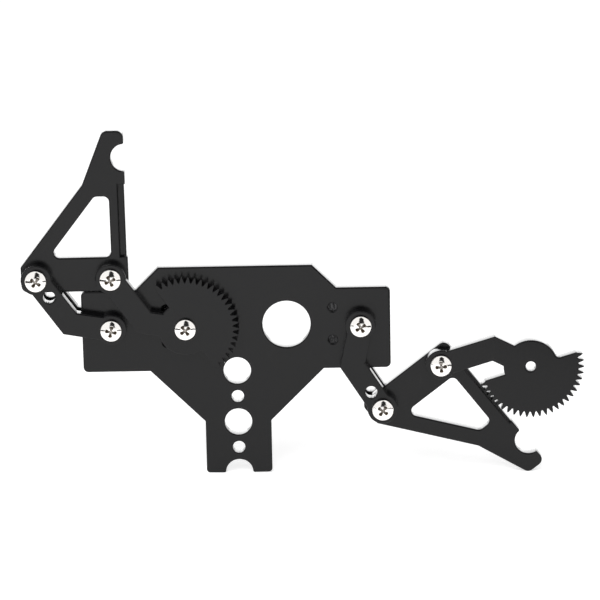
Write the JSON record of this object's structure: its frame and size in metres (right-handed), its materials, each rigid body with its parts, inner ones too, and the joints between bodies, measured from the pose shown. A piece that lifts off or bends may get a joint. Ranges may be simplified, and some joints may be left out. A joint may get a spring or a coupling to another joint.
{
  "type": "robot claw gripper",
  "caption": "Flat-plate robot claw gripper: geared arms and bar links swing two parallel jaws over a plate with a hub-hole stem.",
  "frame": {"origin": "centre of the lower hub hole of the stem, on the base plate's back face", "axes": "+Z from the stem towards the jaw tips, +X to the right seen from the front, +Y out of the back face"},
  "size_m": [0.1667, 0.018, 0.1073],
  "materials": {
    "plate": "satin black moulded sheet",
    "screw": "bright nickel plate",
    "nut": "zinc plate",
    "nut_ring": "natural nylon"
  },
  "bodies": {
    "base": {"base_plate": "plate", "left_gear_pivot_screw": "screw", "left_gear_pivot_nut": "nut", "left_gear_pivot_nut_insert": "nut_ring", "left_link_pivot_screw": "screw", "left_link_pivot_nut": "nut", "left_link_pivot_nut_insert": "nut_ring", "right_link_pivot_screw": "screw", "right_link_pivot_nut": "nut", "right_link_pivot_nut_insert": "nut_ring"},
    "left_gear_arm": {"left_gear_arm": "plate", "left_jaw_arm_screw": "screw", "left_jaw_arm_nut": "nut", "left_jaw_arm_nut_insert": "nut_ring"},
    "left_jaw": {"left_jaw": "plate"},
    "left_links": {"left_front_link": "plate", "left_rear_link": "plate", "left_jaw_link_screw": "screw", "left_jaw_link_nut": "nut", "left_jaw_link_nut_insert": "nut_ring"},
    "right_links": {"right_front_link": "plate", "right_rear_link": "plate", "right_jaw_link_screw": "screw", "right_jaw_link_nut": "nut", "right_jaw_link_nut_insert": "nut_ring"},
    "right_jaw": {"right_jaw": "plate"},
    "right_gear_arm": {"right_gear_arm": "plate", "right_jaw_arm_screw": "screw", "right_jaw_arm_nut": "nut", "right_jaw_arm_nut_insert": "nut_ring"}
  },
  "joints": [
    {"name": "left_gear_turn", "type": "hinge", "parent": "base", "child": "left_gear_arm", "pos_m": [-0.015, -0.0016, 0.0302], "axis": [0, 1, 0], "range_deg": [0, 75.4]},
    {"name": "left_jaw_pivot", "type": "hinge", "parent": "left_gear_arm", "child": "left_jaw", "pos_m": [-0.03673, -0.0016, 0.0458], "axis": [0, 1, 0], "range_deg": [-75.4, 0]},
    {"name": "left_link_swing", "type": "hinge", "parent": "base", "child": "left_links", "pos_m": [-0.037, -0.0016, 0.0302], "axis": [0, 1, 0], "range_deg": [0, 75.4]},
    {"name": "right_link_swing", "type": "hinge", "parent": "base", "child": "right_links", "pos_m": [0.037, -0.0016, 0.0302], "axis": [0, 1, 0], "range_deg": [-110, 25]},
    {"name": "right_jaw_swing", "type": "hinge", "parent": "right_links", "child": "right_jaw", "pos_m": [0.04329, -0.0016, 0.0042], "axis": [0, 1, 0], "range_deg": [-12, 70]},
    {"name": "right_arm_swing", "type": "hinge", "parent": "right_jaw", "child": "right_gear_arm", "pos_m": [0.06074, -0.0016, 0.01759], "axis": [0, 1, 0], "range_deg": [-85, 85]}
  ],
  "couplings": [
    {"joint": "left_jaw_pivot", "follows": "left_gear_turn", "ratio": -1},
    {"joint": "left_link_swing", "follows": "left_gear_turn", "ratio": 1}
  ]
}
